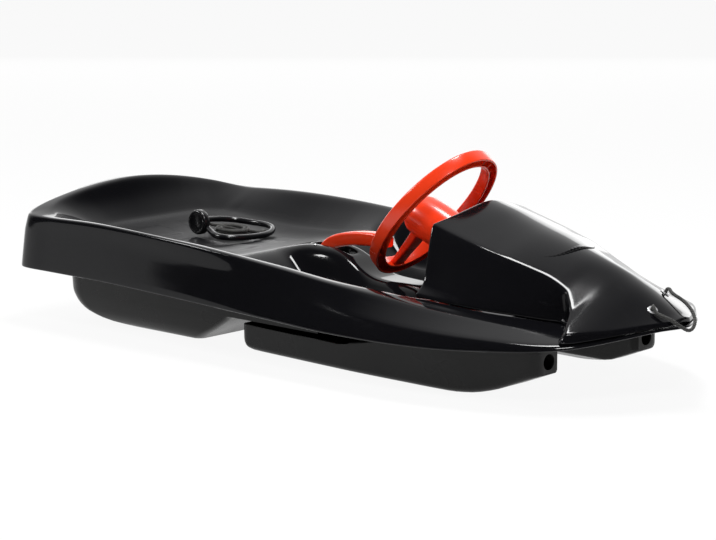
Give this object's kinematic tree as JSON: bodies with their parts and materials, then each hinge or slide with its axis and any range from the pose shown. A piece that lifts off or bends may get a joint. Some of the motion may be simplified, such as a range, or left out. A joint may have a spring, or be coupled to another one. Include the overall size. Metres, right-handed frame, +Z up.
{
  "type": "bobsled",
  "caption": "Steerable plastic snow bob: a seat hull on a runner box, a steered twin-runner ski, a wheel, a claw brake, a tow loop and a tow handle.",
  "frame": {"origin": "on the ground, under the middle of the sled's length and width, leaving out the ropes", "axes": "+X forward to the nose, +Y to the rider's left, +Z up"},
  "size_m": [1.2145, 0.5214, 0.3362],
  "materials": {
    "gloss_black": "gloss black moulded plastic",
    "satin_black": "satin black moulded plastic",
    "red_plastic": "semi-gloss red-orange moulded plastic",
    "black_rope": "braided black cord",
    "zinc_steel": "zinc plated steel"
  },
  "bodies": {
    "sled": {"hull": "gloss_black", "front_cowl": "gloss_black", "badge_plate": "satin_black", "rear_runner_box": "satin_black", "column_bearing_block": "satin_black", "turntable_disc": "satin_black", "brake_bracket_right": "satin_black", "brake_bracket_left": "satin_black", "tow_handle_hub": "satin_black", "tow_handle_grip": "satin_black", "nose_rope": "black_rope", "nose_knot_right": "black_rope", "nose_knot_left": "black_rope", "tow_rope_coil": "black_rope", "tow_rope_knot": "black_rope", "cowl_screw_1": "zinc_steel", "cowl_screw_2": "zinc_steel", "cowl_screw_3": "zinc_steel", "cowl_screw_4": "zinc_steel", "cowl_screw_5": "zinc_steel", "cowl_screw_6": "zinc_steel", "box_screw_1": "zinc_steel", "box_screw_2": "zinc_steel", "box_screw_3": "zinc_steel", "box_screw_4": "zinc_steel", "block_screw_1": "zinc_steel", "block_screw_2": "zinc_steel", "kingpin_bolt": "zinc_steel", "kingpin_lower_washer": "zinc_steel", "kingpin_upper_washer": "zinc_steel", "kingpin_nut": "zinc_steel", "bracket_rivet_right": "zinc_steel", "bracket_rivet_left": "zinc_steel", "brake_pivot_pin": "zinc_steel", "brake_return_spring": "zinc_steel", "eyelet_right": "zinc_steel", "eyelet_left": "zinc_steel"},
    "steering": {"steering_wheel": "red_plastic", "steering_column": "zinc_steel", "wheel_bolt": "zinc_steel", "wheel_nut": "zinc_steel", "column_collar": "satin_black"},
    "ski": {"front_ski": "satin_black"},
    "brake": {"brake_lever": "red_plastic", "brake_claw": "zinc_steel", "claw_rivet_1": "zinc_steel", "claw_rivet_2": "zinc_steel"}
  },
  "joints": [
    {"name": "steering_turn", "type": "hinge", "parent": "sled", "child": "steering", "pos_m": [0.121, 0, 0.232], "axis": [0.7431, 0, -0.6691], "range_deg": [-40, 40]},
    {"name": "ski_yaw", "type": "hinge", "parent": "sled", "child": "ski", "pos_m": [0.16, 0, 0.0785], "axis": [0, 0, 1], "range_deg": [-10, 10]},
    {"name": "brake_pull", "type": "hinge", "parent": "sled", "child": "brake", "pos_m": [-0.11, 0, 0.125], "axis": [0, -1, 0], "range_deg": [0, 30], "stiffness_Nm_per_rad": 0.8, "springref_deg": -28.65}
  ],
  "couplings": [
    {"joint": "ski_yaw", "follows": "steering_turn", "ratio": 0.25}
  ]
}
